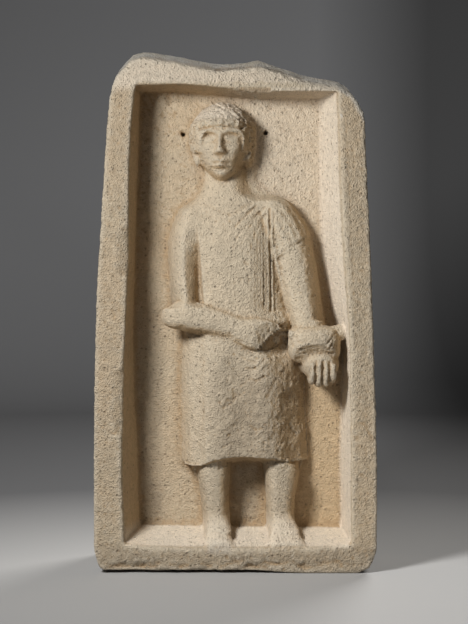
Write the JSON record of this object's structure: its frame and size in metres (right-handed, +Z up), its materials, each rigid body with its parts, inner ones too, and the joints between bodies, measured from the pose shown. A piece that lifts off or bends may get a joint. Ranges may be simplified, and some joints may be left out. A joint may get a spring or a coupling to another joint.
{
  "type": "carved stone stele",
  "caption": "Upright limestone slab with a deep framed niche, and in it a standing boy in a short tunic who holds a small bird, carved in high relief from the same block.",
  "frame": {"origin": "middle of the flat underside", "axes": "+Z up along the slab's height, -Y out of the carved face, +X to the right of someone facing the carving"},
  "size_m": [0.534, 0.205, 0.995],
  "materials": {
    "limestone": "matt, weathered, pale warm beige with grey dirt on the frame and a bluish grey break along the top"
  },
  "bodies": {
    "root": {"stele": "limestone"}
  },
  "joints": []
}
